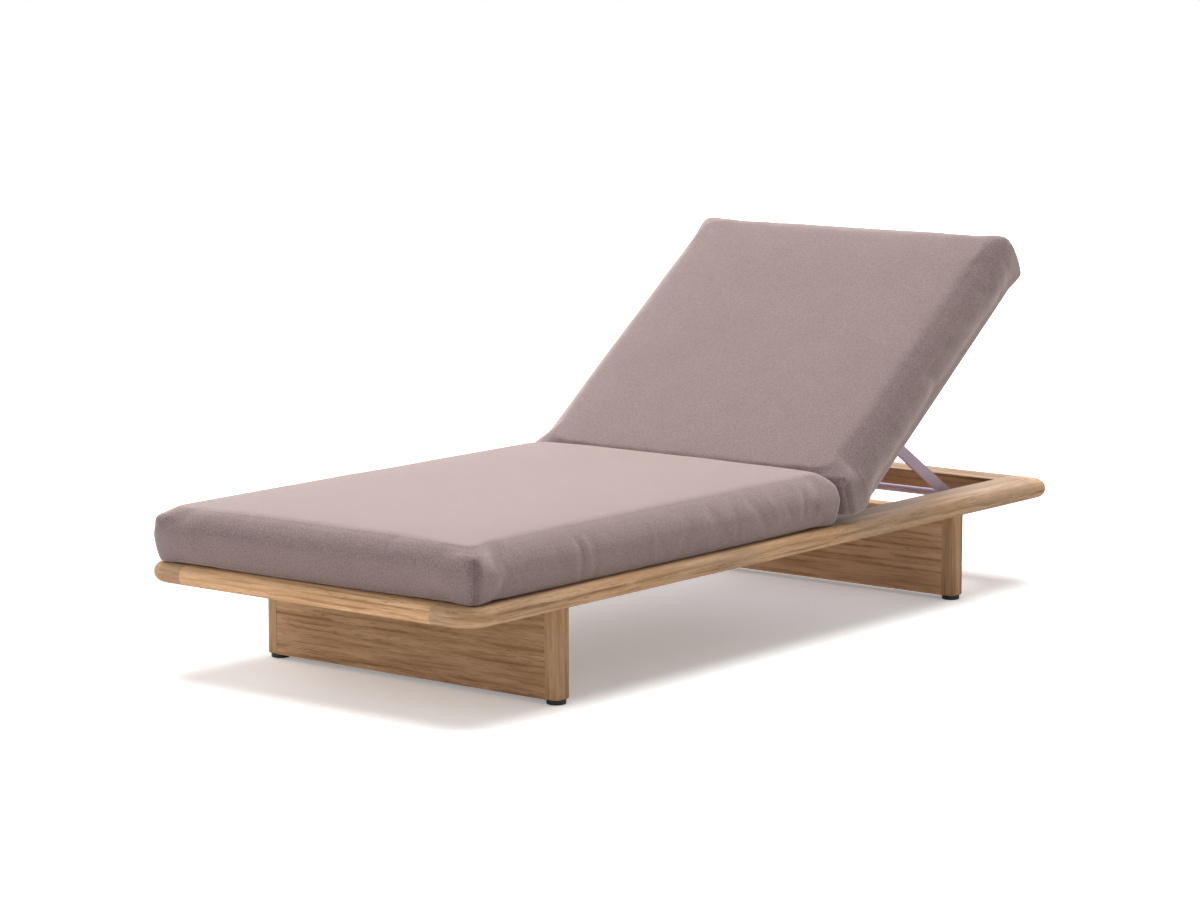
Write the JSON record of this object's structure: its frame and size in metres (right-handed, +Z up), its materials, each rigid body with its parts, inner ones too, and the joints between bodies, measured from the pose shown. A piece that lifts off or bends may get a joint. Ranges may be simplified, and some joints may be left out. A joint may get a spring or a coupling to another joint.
{
  "type": "sun lounger",
  "caption": "Low wooden sun lounger: rounded ring frame on slab legs, slatted seat, thick cushions, and a metal backrest that folds flat on a prop set in notched combs.",
  "frame": {"origin": "on the floor under the middle of the ring frame", "axes": "+X to the right seen from the foot end, +Y from the foot end to the head end, +Z up"},
  "size_m": [0.838, 2, 0.7701],
  "materials": {
    "teak": "weathered oiled teak, horizontal grain",
    "lilac_metal": "matte lilac powder coat",
    "cushion_fabric": "dusty mauve woven outdoor fabric over foam",
    "black_plastic": "black moulded plastic",
    "stainless_steel": "plain stainless steel"
  },
  "bodies": {
    "root": {"backrest_rest_left": "black_plastic", "backrest_rest_right": "black_plastic", "fitting_screws": "stainless_steel", "front_leg_panel": "teak", "front_leg_post_left": "teak", "front_leg_post_right": "teak", "front_rail": "teak", "glide_front_left": "black_plastic", "glide_front_right": "black_plastic", "glide_inserts": "stainless_steel", "glide_rear_left": "black_plastic", "glide_rear_right": "black_plastic", "hinge_bracket_left": "lilac_metal", "hinge_bracket_right": "lilac_metal", "hinge_pins": "stainless_steel", "ledger_screws": "stainless_steel", "leg_dowels": "teak", "mid_rail": "teak", "notched_comb_left": "lilac_metal", "notched_comb_right": "lilac_metal", "rear_leg_panel": "teak", "rear_leg_post_left": "teak", "rear_leg_post_right": "teak", "rear_rail": "teak", "rest_screws": "stainless_steel", "seat_cushion": "cushion_fabric", "seat_ledger_left": "teak", "seat_ledger_right": "teak", "seat_slat_01": "teak", "seat_slat_02": "teak", "seat_slat_03": "teak", "seat_slat_04": "teak", "seat_slat_05": "teak", "seat_slat_06": "teak", "seat_slat_07": "teak", "seat_slat_08": "teak", "seat_slat_09": "teak", "seat_slat_10": "teak", "side_rail_left": "teak", "side_rail_right": "teak", "slat_screws": "stainless_steel"},
    "backrest": {"back_cushion": "cushion_fabric", "backrest_low_tube": "lilac_metal", "backrest_slat_1": "lilac_metal", "backrest_slat_2": "lilac_metal", "backrest_slat_3": "lilac_metal", "backrest_slat_4": "lilac_metal", "backrest_slat_5": "lilac_metal", "backrest_top_tube": "lilac_metal", "backrest_tube_left": "lilac_metal", "backrest_tube_right": "lilac_metal", "hinge_lugs": "lilac_metal", "pivot_washers": "black_plastic", "prop_lugs": "lilac_metal", "prop_pivots": "stainless_steel", "tube_plugs": "black_plastic"},
    "prop": {"prop_crossbar": "lilac_metal", "prop_strut_left": "lilac_metal", "prop_strut_right": "lilac_metal"}
  },
  "joints": [
    {"name": "backrest_hinge", "type": "hinge", "parent": "root", "child": "backrest", "pos_m": [0, 0.2556, 0.205], "axis": [1, 0, 0], "range_deg": [-36.6, 13.4]},
    {"name": "prop_fold", "type": "hinge", "parent": "backrest", "child": "prop", "pos_m": [0, 0.4782, 0.3828], "axis": [1, 0, 0], "range_deg": [-24.7, 67.4]}
  ],
  "couplings": [
    {"joint": "prop_fold", "follows": "backrest_hinge", "ratio": -1.84}
  ]
}
